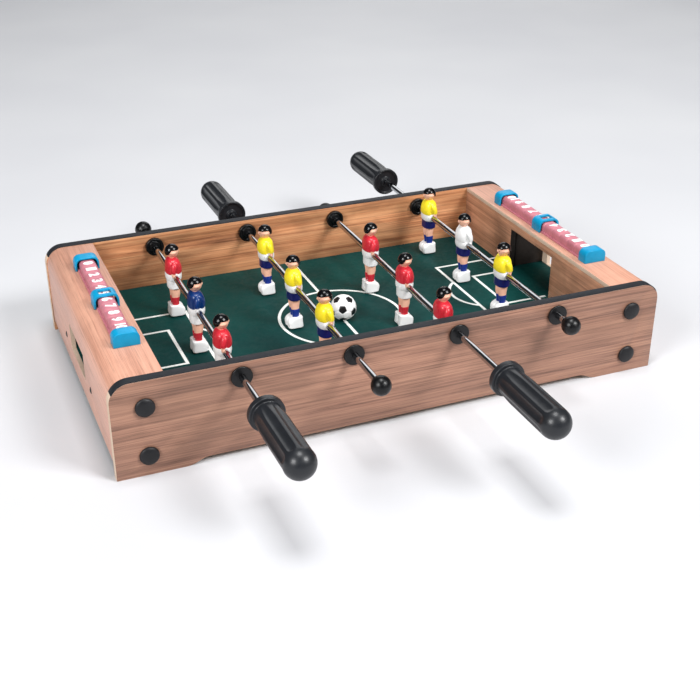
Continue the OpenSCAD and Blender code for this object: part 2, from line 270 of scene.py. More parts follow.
class Shader:
    """A Principled material whose nodes are added by short calls."""

    def __init__(self, name, **values):
        self.material = bpy.data.materials.new(name)
        self.material.use_nodes = True
        self.tree = self.material.node_tree
        self.bsdf = self.tree.nodes["Principled BSDF"]
        for socket, value in values.items():
            self.bsdf.inputs[socket.replace("_", " ")].default_value = value
        self.position = self.add("ShaderNodeTexCoord").outputs["Object"]

    def add(self, kind, inputs=None, **attributes):
        node = self.tree.nodes.new(kind)
        for key, value in attributes.items():
            setattr(node, key, value)
        for key, value in (inputs or {}).items():
            if isinstance(value, bpy.types.NodeSocket):
                self.tree.links.new(value, node.inputs[key])
            else:
                node.inputs[key].default_value = value
        return node

    def math(self, operation, a, b=0.0):
        return self.add("ShaderNodeMath", {0: a, 1: b}, operation=operation).outputs[0]

    def stretched(self, scale, offset=(0, 0, 0)):
        """Object coordinates scaled differently along each axis."""
        inputs = {"Vector": self.position, "Scale": scale, "Location": offset}
        return self.add("ShaderNodeMapping", inputs).outputs["Vector"]

    def noise(self, scale, stretch=(1, 1, 1), detail=4.0, roughness=0.55, distortion=0.0, at=0.0):
        inputs = {
            "Vector": self.stretched(stretch, (at, at, at)), "Scale": scale,
            "Detail": detail, "Roughness": roughness, "Distortion": distortion,
        }
        return self.add("ShaderNodeTexNoise", inputs).outputs["Fac"]

    def ramp(self, value, *stops):
        """Colour ramp through (position, colour) stops."""
        node = self.add("ShaderNodeValToRGB", {"Fac": value})
        elements = node.color_ramp.elements
        while len(elements) < len(stops):
            elements.new(0.5)
        for element, (at, color) in zip(elements, stops):
            element.position = at
            element.color = (*color, 1.0) if not isinstance(color, float) else (color,) * 3 + (1.0,)
        return node.outputs["Color"]

    def mix(self, factor, a, b, mode="MIX"):
        node = self.add("ShaderNodeMix", data_type="RGBA", blend_type=mode)
        for socket, value in ((node.inputs[0], factor), (node.inputs[6], a), (node.inputs[7], b)):
            if isinstance(value, bpy.types.NodeSocket):
                self.tree.links.new(value, socket)
            elif socket == node.inputs[0]:
                socket.default_value = value
            else:
                socket.default_value = (*value, 1.0)
        return node.outputs[2]

    def rescale(self, value, low, high):
        """Noise between about 0.3 and 0.7, mapped to low and high."""
        inputs = {"Value": value, "From Min": 0.3, "From Max": 0.7, "To Min": low, "To Max": high}
        return self.add("ShaderNodeMapRange", inputs).outputs["Result"]

    def color(self, socket):
        self.tree.links.new(socket, self.bsdf.inputs["Base Color"])

    def roughness(self, socket):
        self.tree.links.new(socket, self.bsdf.inputs["Roughness"])

    def bump(self, height, strength, distance_mm):
        inputs = {"Height": height, "Strength": strength, "Distance": distance_mm * MM}
        normal = self.add("ShaderNodeBump", inputs).outputs["Normal"]
        self.tree.links.new(normal, self.bsdf.inputs["Normal"])


def srgb(red, green, blue):
    """Linear colour of an 8-bit sRGB one."""
    def linear(v):
        v /= 255
        return v / 12.92 if v <= 0.04045 else ((v + 0.055) / 1.055) ** 2.4
    return tuple(linear(v) for v in (red, green, blue))


def wood_print(name, light, middle, dark, along, patches=0.5, at=0.0):
    """Printed wood-grain laminate: broad figure, fine streaks and pores along one axis."""
    s = Shader(name, Specular_IOR_Level=0.4, Coat_Weight=0.08, Coat_Roughness=0.4)
    long_way = {"X": (0.6, 11, 11), "Y": (11, 0.6, 11)}[along]
    fine_way = {"X": (0.45, 46, 46), "Y": (46, 0.45, 46)}[along]
    figure = s.noise(7, long_way, detail=6, roughness=0.6, distortion=1.6, at=at)
    streaks = s.noise(12, fine_way, detail=7, roughness=0.72, distortion=0.25, at=at + 3)
    pores = s.noise(48, fine_way, detail=3, roughness=0.6, at=at + 7)
    broad = s.noise(5.5, (1.2, 3, 3), detail=3, distortion=0.8, at=at + 11)
    base = s.ramp(figure, (0.32, dark), (0.45, middle), (0.62, light))
    streak_color = s.ramp(streaks, (0.36, dark), (0.48, middle), (0.62, light))
    mixed = s.mix(0.55, base, streak_color)
    shade = s.ramp(broad, (0.38, 1.0 - 0.6 * patches), (0.60, 1.0))
    shaded = s.mix(1.0, mixed, shade, "MULTIPLY")
    pore_shade = s.ramp(pores, (0.36, 0.55), (0.45, 1.0))
    s.color(s.mix(0.7, shaded, pore_shade, "MULTIPLY"))
    s.roughness(s.rescale(streaks, 0.38, 0.56))
    s.bump(pores, 0.25, 0.05)
    return s.material


def board_core(name, light, dark):
    """Raw fibreboard or sawn timber on cut edges and hidden faces."""
    s = Shader(name, Specular_IOR_Level=0.25)
    fibres = s.noise(900, detail=3, roughness=0.7)
    cloud = s.noise(40, detail=2)
    speckle = s.ramp(fibres, (0.3, dark), (0.7, light))
    patches = s.ramp(cloud, (0.3, dark), (0.7, light))
    s.color(s.mix(0.35, speckle, patches))
    s.roughness(s.rescale(fibres, 0.75, 0.92))
    s.bump(fibres, 0.4, 0.08)
    return s.material


def moulded(name, color, rough=0.28, depth=0.12, coat=0.0, vary=0.12, bump=0.15, specular=0.5):
    """Moulded or painted plastic: faint colour drift, uneven gloss and a fine skin."""
    s = Shader(name, Specular_IOR_Level=specular, Coat_Weight=coat, Coat_Roughness=0.08)
    drift = s.noise(90, detail=3)
    skin = s.noise(1400, detail=2, roughness=0.6)
    scuffs = s.noise(260, (1, 3, 1), detail=5, roughness=0.75, distortion=0.8)
    darker = tuple(c * (1 - vary) for c in color)
    lighter = tuple(min(1.0, c * (1 + vary * 0.6) + vary * 0.01) for c in color)
    s.color(s.ramp(drift, (0.32, darker), (0.52, color), (0.72, lighter)))
    s.roughness(s.rescale(scuffs, max(rough - depth / 2, 0.05), rough + depth))
    s.bump(s.mix(0.25, skin, scuffs), bump, 0.04)
    return s.material


def chrome(name):
    """Plated steel with fine lengthwise polishing marks and a few dull spots."""
    s = Shader(name, Metallic=1.0)
    marks = s.noise(220, (12, 0.6, 12), detail=6, roughness=0.75)
    haze = s.noise(35, detail=3)
    s.color(s.ramp(marks, (0.3, (0.40, 0.41, 0.43)), (0.7, (0.56, 0.57, 0.59))))
    s.roughness(s.math("ADD", s.rescale(marks, 0.03, 0.07), s.rescale(haze, 0.0, 0.03)))
    s.bump(marks, 0.02, 0.01)
    return s.material


def playing_surface(name):
    """Printed green board with white lines. Line places are in millimetres."""
    s = Shader(name, Specular_IOR_Level=0.12)
    axes = s.add("ShaderNodeSeparateXYZ", {"Vector": s.position}).outputs
    x = s.math("ABSOLUTE", s.math("MULTIPLY", axes["X"], 1 / MM))
    y = s.math("ABSOLUTE", s.math("MULTIPLY", axes["Y"], 1 / MM))
    half_line = 1.5
    circle_r, spot_r, field_half = 60.0, 3.5, 208.0
    box_front, box_half = 137.0, 69.0
    small_front, small_half = 163.0, 35.0
    arc_centre, arc_r = 158.0, 36.0

    def on(value, place):
        """1 within half a line's width of the place."""
        return s.math("LESS_THAN", s.math("ABSOLUTE", s.math("SUBTRACT", value, place)), half_line)

    def both(a, b):
        return s.math("MULTIPLY", a, b)

    def radius(from_x):
        dx = s.math("SUBTRACT", x, from_x)
        squares = s.math("ADD", s.math("MULTIPLY", dx, dx), s.math("MULTIPLY", y, y))
        return s.math("SQRT", squares)

    def goal_box(front_x, half_y):
        front = both(on(x, front_x), s.math("LESS_THAN", y, half_y + half_line))
        side = both(on(y, half_y), s.math("GREATER_THAN", x, front_x))
        return s.math("MAXIMUM", front, side)

    arc = both(on(radius(arc_centre), arc_r), s.math("LESS_THAN", x, box_front))
    spot = s.math("LESS_THAN", radius(0.0), spot_r)
    circle = on(radius(0.0), circle_r)
    boxes = (goal_box(box_front, box_half), goal_box(small_front, small_half))
    lines = s.math("LESS_THAN", x, half_line)
    for shape in (circle, *boxes, arc, spot):
        lines = s.math("MAXIMUM", lines, shape)
    lines = both(lines, s.math("LESS_THAN", x, field_half))
    cloud = s.noise(9, detail=3, distortion=0.5)
    fine = s.noise(700, detail=2, roughness=0.6)
    green = s.ramp(cloud, (0.33, srgb(4, 44, 44)), (0.66, srgb(8, 66, 62)))
    green = s.mix(0.25, green, s.ramp(fine, (0.3, srgb(3, 36, 36)), (0.7, srgb(16, 76, 72))))
    white = s.ramp(fine, (0.3, srgb(215, 220, 216)), (0.7, srgb(245, 246, 243)))
    s.color(s.mix(lines, green, white))
    s.roughness(s.rescale(s.noise(120, (1, 1, 1), detail=5, distortion=1.0), 0.50, 0.68))
    s.bump(fine, 0.12, 0.04)
    return s.material


# ---------------------------------------------------------------- materials

OUTSIDE_WOOD = wood_print(
    "outside_wood", srgb(184, 138, 114), srgb(156, 114, 95), srgb(92, 63, 52), "X", 0.45
)
INSIDE_WOOD = wood_print(
    "inside_wood", srgb(234, 174, 126), srgb(208, 140, 96), srgb(96, 56, 40), "X", 1.0, 5.0
)
GOAL_WOOD = wood_print(
    "goal_wood", srgb(228, 172, 138), srgb(202, 146, 114), srgb(142, 96, 72), "Y", 0.5, 9.0
)
COVER_WOOD = wood_print(
    "cover_wood", srgb(216, 164, 140), srgb(204, 150, 127), srgb(176, 124, 102), "Y", 0.15, 2.0
)
# Lighter copy of the cover laminate for the outer end face: partly the laminate's paler tone there,
# partly painted light from the left.
END_FACE_LIT_WOOD = wood_print(
    "end_face_lit_wood", srgb(218, 170, 150), srgb(210, 160, 140), srgb(190, 140, 120), "Y", 0.12, 14.0
)
CORE = board_core("board_core", srgb(226, 204, 184), srgb(196, 170, 146))
TIMBER = board_core("sawn_timber", srgb(222, 192, 148), srgb(190, 154, 108))
# Near-black paint on the goal mouth's faces and goal jambs: painted shade for the unlit goal tunnel, not
# the timber's own colour.
GOAL_SHADE_TIMBER = moulded("dark_timber", srgb(46, 38, 34), 0.6, 0.2, bump=0.4)
STRIP = moulded("edge_strip", srgb(30, 32, 37), 0.55, 0.15, bump=0.3, specular=0.3)
BLACK = moulded("black_plastic", srgb(8, 8, 10), 0.30, 0.14, specular=0.35)
BOLT_BLACK = moulded("bolt_black", srgb(22, 22, 25), 0.42, 0.14, bump=0.3, specular=0.35)
GRIP = moulded("grip_plastic", srgb(30, 32, 36), 0.34, 0.12, coat=0.08, specular=0.4)
STEEL = chrome("chrome")
FIELD = playing_surface("playing_surface")
SKIN = moulded("skin_paint", srgb(255, 196, 168), 0.34, 0.12, vary=0.08)
HAIR = moulded("hair_paint", srgb(6, 6, 9), 0.20, 0.08, specular=0.35)
WHITE = moulded("white_paint", srgb(248, 248, 248), 0.30, 0.12, vary=0.03)
RED = moulded("red_paint", srgb(208, 44, 58), 0.28, 0.12)
BLUE = moulded("blue_paint", srgb(4, 48, 108), 0.28, 0.12)
NAVY = moulded("navy_paint", srgb(22, 28, 96), 0.30, 0.12)
SOCK_BLUE = moulded("sock_blue_paint", srgb(28, 52, 140), 0.30, 0.12)
YELLOW = moulded("yellow_paint", srgb(255, 232, 46), 0.28, 0.12, vary=0.06)
PINK = moulded("counter_pink", srgb(190, 118, 130), 0.40, 0.12, specular=0.35)
SKY = moulded("counter_blue", srgb(8, 146, 192), 0.34, 0.12, specular=0.3)
EYE = moulded("eye_paint", srgb(70, 46, 40), 0.34, 0.10)
BALL_BLACK = moulded("ball_black", srgb(22, 22, 24), 0.30, 0.12)


# ---------------------------------------------------------------- case

def side_panel(wall, side):
    """Laminated sides, bare fibreboard on the cut edges."""
    def pick(_, normal):
        if normal.y * side > FACES_AXIS:
            return 0
        return 1 if normal.y * side < -FACES_AXIS else 2
    node = f"side_panel_{wall}"
    obj = softened(node, f"{wall}_panel", 0.35, [OUTSIDE_WOOD, INSIDE_WOOD, CORE], pick)
    place(obj, "frame", "panel_laminate", node)


def edge_strip(wall):
    """Dark strip along the panel's top edge and round its corners."""
    node = f"edge_strip_{wall}"
    obj = softened(node, f"{wall}_edge_strip", 0.25, [STRIP], lambda centre, normal: 0)
    place(obj, "frame", "edge_strip", node)


def field_board():
    """Printed top on a raw board."""
    board_top = box_mm("playing_field")[1].z

    def pick(centre, normal):
        return 0 if normal.z > FACES_AXIS and centre.z > board_top - 0.5 else 1
    obj = softened("playing_field", "field", 0.2, [FIELD, CORE], pick)
    place(obj, "frame", "field_board", "playing_field")


def goal_board(end, side):
    """Inner end board: laminate towards the field, painted shade (near black) in the goal mouth and
    behind.
    """
    def pick(_, normal):
        return 0 if normal.x * side < -FACES_AXIS else 1
    node = f"goal_board_{end}"
    obj = softened(node, f"{end}_goal_board", 0.3, [GOAL_WOOD, GOAL_SHADE_TIMBER], pick)
    place(obj, "frame", "inner_laminate", node)


def end_cover(end, side):
    """Pale laminate on the outside of the bent cover, in a lighter copy on the outer end face that is
    partly painted light from the left; raw board inside it and in its slot.
    """
    low, high = box_mm(f"end_cover_{end}")
    thickness, corner, skin = 4.0, 16.7, 1.0
    outer_x = (high.x if side > 0 else low.x) * side
    centre_x, centre_z = outer_x - corner, high.z - corner
    middle_r = corner - thickness / 2

    def pick(centre, normal):
        x, z = centre.x * side, centre.z
        if abs(normal.y) > FACES_AXIS or z < low.z + 0.3:
            return 1
        if x > centre_x and z > centre_z:
            if math.hypot(x - centre_x, z - centre_z) < middle_r:
                return 1
            # Round the bend, the lower outer part takes the lighter copy, which is partly painted light.
            return 0 if z - centre_z > 0.6 * (x - centre_x) else 2
        if normal.z > 0.5:
            return 0 if z > high.z - skin else 1
        return 2 if normal.x * side > 0.5 and x > outer_x - skin else 1
    obj = softened(f"end_cover_{end}", f"{end}_cover", 0.3, [COVER_WOOD, CORE, END_FACE_LIT_WOOD], pick)
    place(obj, "frame", "end_laminate", f"end_cover_{end}")


def end_blocks(end, wall):
    """Corner block, and goal jamb in painted shade (near black), inside one end box."""
    for kind, name, slot, material in (
        ("corner_block", "block", "raw_timber", TIMBER),
        ("goal_jamb", "jamb", "dark_timber", GOAL_SHADE_TIMBER),
    ):
        node = f"{kind}_{end}_{wall}"
        obj = softened(node, f"{end}_{wall}_{name}", 0.4, [material], lambda centre, normal: 0)
        place(obj, "frame", slot, node)


def dome(radius, height, rim, steps=10):
    """Profile of a domed head on a short rim, from the rim's foot to the middle."""
    top = height - rim
    rows = [(radius - 0.4, 0.0), (radius, 0.4), (radius, rim)]
    for k in range(1, steps + 1):
        a = math.pi / 2 * k / steps
        rows.append((radius * math.cos(a) if k < steps else 0.0, rim + top * math.sin(a)))
    return rows


def frame_bolts():
    """Domed black bolt caps on both side panels."""
    low, high = box_mm("frame_bolts")
    head_d, head_h, rim = 16.5, 4.0, 1.2
    panel_low, panel_high = box_mm("side_panel_front")[0], box_mm("side_panel_back")[1]
    shells = []
    for side, panel_y in ((-1, panel_low.y), (1, panel_high.y)):
        for x in (low.x + head_d / 2, high.x - head_d / 2):
            for z in (low.z + head_d / 2, high.z - head_d / 2):
                rows = [(0.0, 0.0)] + dome(head_d / 2, head_h, rim)
                rows = [(r, y * side) for r, y in rows]
                shells.append((*lathe(rows, (x, panel_y, z), 48), 0))
    place(mesh_object("bolt_caps", shells, [BOLT_BLACK]), "frame", "bolt_black", "frame_bolts")


CUBE = [(i, j, k) for i in (-1, 1) for j in (-0.5, 0.5) for k in (-0.5, 0.5)]
CUBE_FACES = [[0, 1, 3, 2], [4, 6, 7, 5], [0, 4, 5, 1], [2, 3, 7, 6], [0, 2, 6, 4], [1, 5, 7, 3]]


def end_screws():
    """Small screws in the end faces, with slightly domed heads and a dark cross in each."""
    low, high = box_mm("end_screws")
    head_r = (high.z - low.z) / 2
    z = (high.z + low.z) / 2
    seat, rim, top = -1.0, 0.15, 0.7
    slot_depth, slot_l, slot_w = 0.12, 3.2, 0.5
    shells = []
    for side, face_x in ((-1, low.x), (1, high.x)):
        for y in (low.y + head_r, high.y - head_r):
            rows = [(0.0, seat), (head_r, seat), (head_r, rim), (head_r * 0.6, 0.55), (0.0, top)]
            points, faces = lathe(rounded(rows, 0.3), (0, 0, 0), 32)
            turn = Matrix.Rotation(-side * math.pi / 2, 4, "Z")
            at = Matrix.Translation((face_x - side * top, y, z))
            shells.append((moved(points, at @ turn), faces, 0))
            for a in (0, math.pi / 2):
                bar = Matrix.Rotation(a, 4, "X") @ Matrix.Diagonal((slot_depth, slot_l, slot_w, 1))
                at = Matrix.Translation((face_x, y, z))
                shells.append((moved(CUBE, at @ bar), CUBE_FACES, 1))
    obj = mesh_object("end_face_screws", shells, [BOLT_BLACK, BALL_BLACK])
    place(obj, "frame", "bolt_black", "end_screws")


# ---------------------------------------------------------------- rods

def bushes(wall, side):
    """Flanged outer bush and thick inner ring at each rod, with rounded rims."""
    outer_y = box_mm(f"bushes_{wall}")[0 if side < 0 else 1].y
    sleeve_y = box_mm(f"bushes_{wall}")[1 if side < 0 else 0].y
    wall_y = box_mm(f"side_panel_{wall}")[0 if side < 0 else 1].y
    inner_y = box_mm(f"side_panel_{wall}")[1 if side < 0 else 0].y
    flange_r = rod_axis(1)[0] - box_mm(f"bushes_{wall}")[0].x
    sleeve_r = 6.0
    clearance = 0.05
    ring_r = sleeve_r + clearance
    outer, inner = [], []
    for rod in RODS:
        x, z = rod_axis(rod)
        rows = [
            (BORE_R, sleeve_y), (sleeve_r, sleeve_y), (sleeve_r, wall_y), (flange_r, wall_y),
            (flange_r, outer_y), (BORE_R, outer_y),
        ]
        outer.append((*lathe(rounded(rows, 0.9), (x, 0, z)), 0))
        rows = [
            (ring_r, inner_y), (flange_r, inner_y), (flange_r, sleeve_y), (ring_r, sleeve_y),
            (ring_r, inner_y),
        ]
        inner.append((*lathe(rounded(rows, 1.2)[:-1], (x, 0, z)), 0))
    for shells, kind in ((outer, "bushes"), (inner, "rings")):
        obj = mesh_object(f"{wall}_{kind}", shells, [BLACK])
        node = f"bushes_{wall}" if kind == "bushes" else f"bush_rings_{wall}"
        place(obj, "frame", "bush_plastic", node)


def grip(rod):
    """Handle: dished collar, tapered barrel with eight wide flutes and a domed end."""
    low, high = box_mm(f"handle_{rod}")
    x, z = rod_axis(rod)
    side = handle_side(rod)
    start = high.y if side < 0 else low.y
    length = high.y - low.y
    collar_r, collar_t, grip_r, root_r = (high.x - low.x) / 2, 6.0, 13.0, 11.8
    hub_r, rim_r, dish_d, bore_y = 5.5, collar_r - 2, 2.5, 60.0
    barrel_y, taper_y, dome_y = collar_t + 1.2, 26.0, length - grip_r
    flutes = (collar_t + 6, dome_y - 4)
    barrel_steps, dome_steps, segments = 44, 16, 192
    outline = [(0.0, bore_y)] + rounded([
        (BORE_R, bore_y), (BORE_R, 0.0), (hub_r, 0.0), (hub_r, dish_d), (rim_r, dish_d), (rim_r, 0.0),
        (collar_r, 0.0), (collar_r, collar_t), (root_r, collar_t), (grip_r, taper_y),
    ], 1.0, 5)[:-1]
    outline += [
        (root_r + (grip_r - root_r) * min(1, (y - collar_t) / (taper_y - collar_t)), y)
        for y in [
            barrel_y + (dome_y - barrel_y) * k / barrel_steps for k in range(barrel_steps + 1)
        ]
    ]
    outline += [
        (grip_r * math.cos(a), dome_y + grip_r * math.sin(a))
        for a in [math.pi / 2 * k / dome_steps for k in range(1, dome_steps)]
    ] + [(0.0, length)]
    verts, rings = [], []
    for radius, y in outline:
        if radius < 1e-6:
            rings.append([len(verts)] * segments)
            verts.append((x, start + side * y, z))
            continue
        rings.append(list(range(len(verts), len(verts) + segments)))
        for k in range(segments):
            a = 2 * math.pi * k / segments
            r = fluted(radius, a, y, *flutes) if y > collar_t else radius
            verts.append((x + r * math.cos(a), start + side * y, z + r * math.sin(a)))
    faces = bands(list(zip(rings, rings[1:])), segments)
    obj = mesh_object(f"grip_{rod}", [(verts, faces, 0)], [GRIP], 50)
    place(obj, f"rod_{rod}", "grip_plastic", f"handle_{rod}")


def fluted(radius, angle, y, first_y, last_y):
    """The barrel's radius with wide round-bottomed flutes cut into it from first_y to last_y."""
    count, flute_r, flute_at = 8, 7.3, 18.8
    off = (angle / (2 * math.pi) * count) % 1 - 0.5
    sideways = flute_at * math.sin(off * 2 * math.pi / count)
    beyond = max(first_y - y, y - last_y, 0.0)
    reach = flute_r ** 2 - beyond ** 2 - sideways ** 2
    if reach <= 0:
        return radius
    floor = flute_at * math.cos(off * 2 * math.pi / count) - math.sqrt(reach)
    blend = 0.35
    mix = min(max(0.5 + 0.5 * (floor - radius) / blend, 0.0), 1.0)
    return floor * (1 - mix) + radius * mix - blend * mix * (1 - mix)


def ball_knob(rod):
    """End knob: ball with a short neck towards the table."""
    low, high = box_mm(f"end_knob_{rod}")
    x, z = rod_axis(rod)
    side = handle_side(rod)
    radius = (high.y - low.y) / 2
    neck_r, steps = 5.0, 24
    neck_a = math.asin(neck_r / radius)
    rows = [(BORE_R, 1.0), (BORE_R, radius), (neck_r - 0.5, radius), (neck_r, radius - 0.5)]
    for k in range(steps + 1):
        a = neck_a + (math.pi - neck_a) * k / steps
        rows.append((radius * math.sin(a) if k < steps else 0.0, radius * math.cos(a)))
    rows = [(0.0, 1.0)] + rows
    rows = [(r, y * side) for r, y in rows]
    obj = mesh_object(
        f"ball_knob_{rod}", [(*lathe(rows, (x, (low.y + high.y) / 2, z)), 0)], [BLACK]
    )
    place(obj, f"knob_{rod}", "knob_plastic", f"end_knob_{rod}")


# ---------------------------------------------------------------- figures
# Rows and paths are about the rod's axis, with the feet down and the face towards +X.

SKIN_I, HAIR_I, SHIRT_I, WHITE_I, SHORTS_I, SOCK_I, SHOE_I, HAND_I, EYE_I = range(9)


def head_shell():
    """Egg-shaped head with a moulded cap of hair, brow, nose, chin and ears, facing +X."""
    rings_n, segments = 40, 56
    centre = Vector((0.4, 0, 23.6))
    half_x, half_y, crown, jaw, hair_t = 6.3, 5.9, 6.6, 6.4, 0.9
    verts, rings, hair_rows = [], [], []
    for i in range(rings_n + 1):
        polar = math.pi * i / rings_n
        if i in (0, rings_n):
            rings.append([len(verts)] * segments)
            verts.append(centre + Vector((0, 0, 7.3 if i == 0 else -6.6)))
            hair_rows.append([i == 0] * segments)
            continue
        rings.append(list(range(len(verts), len(verts) + segments)))
        row = []
        for k in range(segments):
            a = 2 * math.pi * k / segments
            d = Vector((math.sin(polar) * math.cos(a), math.sin(polar) * math.sin(a), math.cos(polar)))
            p = Vector((d.x * half_x, d.y * half_y, d.z * (crown if d.z > 0 else jaw)))
            if d.z < 0:
                p.y *= 1 + 0.22 * d.z
                p.x *= 1 + 0.10 * d.z
            hairline = 0.30 + 0.12 * d.y * d.y - 0.62 * smoothstep(0.15, 0.85, -d.x)
            hair = smoothstep(hairline - 0.04, hairline + 0.04, d.z)
            p += d * hair_t * hair
            nose = math.exp(-((d.y / 0.13) ** 2) - ((d.z + 0.02) / 0.20) ** 2) if d.x > 0 else 0
            brow = math.exp(-((d.z - 0.20) / 0.07) ** 2 - (d.y / 0.5) ** 2) if d.x > 0.3 else 0
            chin = math.exp(-((d.z + 0.72) / 0.16) ** 2 - (d.y / 0.25) ** 2) if d.x > 0 else 0
            ear = math.exp(-((abs(d.y) - 1.0) / 0.10) ** 2 - (d.z / 0.22) ** 2)
            p += d * (1.05 * nose + 0.30 * brow + 0.35 * chin + 0.55 * ear * (1 - hair))
            verts.append(centre + p)
            row.append(hair > 0.5)
        hair_rows.append(row)
    faces = bands(list(zip(rings, rings[1:])), segments)
    indices = []
    for i in range(rings_n):
        for k in range(segments):
            n = (k + 1) % segments
            in_hair = sum(hair_rows[row][column] for row in (i, i + 1) for column in (k, n))
            indices.append(HAIR_I if in_hair >= 2 else SKIN_I)
    return verts, faces, indices


def eyes():
    """Small painted eyes: slim dark discs on the face."""
    shells = []
    eye_r = 0.5
    for y in (-2.2, 2.2):
        rows = [(0.0, -0.25), (eye_r, -0.25), (eye_r, 0.05), (0.0, 0.18)]
        points, faces = lathe(rounded(rows, 0.15, 2), (0, 0, 0), 16)
        turn = Matrix.Rotation(-math.pi / 2 + math.atan2(y, 6.0), 4, "Z")
        at = Matrix.Translation((6.15, y, 23.7))
        shells.append((moved(points, at @ turn), faces, EYE_I))
    return shells


def arms():
    """Arms held down at the sides, with the hands on the hips."""
    shells = []
    for s in (-1, 1):
        sleeve = [
            (0, 7.8 * s, 14.2), (-0.6, 9.6 * s, 11.8), (-1.6, 10.4 * s, 8.2), (-2.0, 10.4 * s, 5.4),
        ]
        shells.append((*tube(sleeve, [2.4, 2.9, 2.8, 2.5]), SHIRT_I))
        forearm = [
            (-2.0, 10.4 * s, 6.0), (-2.2, 10.3 * s, 3.6), (-1.4, 10.1 * s, 1.0), (0, 9.6 * s, -1.6),
        ]
        shells.append((*tube(forearm, [1.6, 1.75, 1.7, 1.2]), HAND_I))
    return shells


def legs():
    """Two bare legs that run into socks and blocky boots."""
    shells = []
    for s in (-1, 1):
        y = 2.75 * s
        leg = [
            (-10.5, 5.0, 3.3, 0, y), (-14, 4.8, 3.2, 0, y), (-18, 4.5, 3.0, 0.3, y),
            (-20.5, 4.2, 2.9, 0.3, y), (-23.2, 3.8, 2.8, -0.1, y),
        ]
        shells.append((*loft(leg, 2.1, 28), SKIN_I))
        sock = [
            (-22.4, 3.6, 2.8, -0.1, y), (-23.0, 4.0, 3.05, -0.1, y), (-26, 3.7, 2.9, -0.3, y),
            (-29, 3.3, 2.7, -0.3, y), (-33, 3.3, 2.7, -0.2, y),
        ]
        shells.append((*loft(sock, 2.1, 28), SOCK_I))
        boot_y = 3.6 * s
        boot = [
            (-30.4, 4.0, 3.0, -1.8, boot_y), (-31.2, 5.2, 3.6, -1.2, boot_y),
            (-33.2, 6.6, 3.85, 0.3, boot_y), (-36, 7.3, 3.9, 0.8, boot_y),
            (-40, 7.3, 3.9, 0.4, boot_y), (-41.2, 7.0, 3.8, 0.3, boot_y),
            (-41.7, 6.2, 3.3, 0.3, boot_y),
        ]
        shells.append((*loft(boot, 4.0, 36), SHOE_I))
    return shells


def figure_shells():
    """One player about its rod's axis, facing +X: painted regions of one moulding."""
    neck = [
        (14.5, 2.9, 3.0, 0, 0), (16, 2.8, 2.9, 0, 0), (18, 2.7, 2.8, 0.1, 0), (20, 3.0, 3.0, 0.3, 0),
    ]
    shirt = [
        (17.9, 2.7, 3.2, 0, 0), (17.4, 3.8, 4.6, 0, 0), (16.3, 5.1, 6.8, 0, 0), (14.6, 6.2, 8.5, 0.1, 0),
        (12, 7.0, 9.4, 0.3, 0), (8.5, 7.6, 9.7, 0.5, 0), (5, 7.7, 9.7, 0.4, 0), (3.4, 7.5, 9.5, 0.2, 0),
        (2.8, 7.0, 9.0, 0.2, 0),
    ]
    hem = [
        (3.6, 6.9, 8.9, 0.2, 0), (3.2, 7.4, 9.4, 0.2, 0), (0, 7.6, 9.8, 0.1, 0), (-3.2, 7.2, 9.3, 0, 0),
        (-4.4, 6.2, 8.5, 0, 0),
    ]
    shorts = [
        (-3.4, 5.8, 8.0, 0, 0), (-4.2, 6.3, 8.4, 0, 0), (-8, 6.4, 8.5, 0, 0),
        (-11.6, 6.5, 8.4, 0.1, 0), (-12.6, 6.3, 8.1, 0.1, 0), (-12.8, 5.2, 7.0, 0.1, 0),
    ]
    boss_r, boss_half = 4.3, 10.2
    boss = [(0.0, -boss_half), (boss_r, -boss_half), (boss_r, boss_half), (0.0, boss_half)]
    shells = [
        head_shell(), (*loft(neck, 2.0, 28), SKIN_I), (*loft(shirt, 2.5), SHIRT_I),
        (*loft(hem, 2.5), WHITE_I), (*loft(shorts, 2.6), SHORTS_I),
        (*lathe(rounded(boss, 0.8), (0, 0, 0), 36), WHITE_I),
    ]
    return shells + eyes() + arms() + legs()


def team_kit(rod, spot):
    """Shirt, shorts, sock and hand materials and the record's slot for one player."""
    if facing(rod) > 0:
        if (rod, spot) == (1, "middle"):
            return BLUE, WHITE, RED, WHITE, "figure_blue"
        return RED, WHITE, RED, SKIN, "figure_red"
    if (rod, spot) == (4, "middle"):
        return WHITE, NAVY, SOCK_BLUE, WHITE, "figure_white"
    return YELLOW, NAVY, SOCK_BLUE, SKIN, "figure_yellow"


def figures():
    """The twelve players, each with its own kit."""
    shells = figure_shells()
    for rod in RODS:
        x, z = rod_axis(rod)
        for spot in PLACES:
            node = f"figure_{rod}_{spot}"
            low, high = box_mm(node)
            turn = Matrix.Rotation(0 if facing(rod) > 0 else math.pi, 4, "Z")
            at = Matrix.Translation((x, (low.y + high.y) / 2, z)) @ turn
            shirt, shorts, sock, hand, slot = team_kit(rod, spot)
            obj = mesh_object(
                f"player_{rod}_{spot}", [(moved(p, at), f, i) for p, f, i in shells],
                [SKIN, HAIR, shirt, WHITE, shorts, sock, WHITE, hand, EYE], 60,
            )
            place(obj, f"rod_{rod}", slot, node)


# ---------------------------------------------------------------- score counters

def blue_part(node, name, body):
    """A blue plastic part of a counter, with softened edges."""
    obj = softened(node, name, 0.5, [SKY], lambda centre, normal: 0, 3)
    place(obj, body, "score_blue", node)


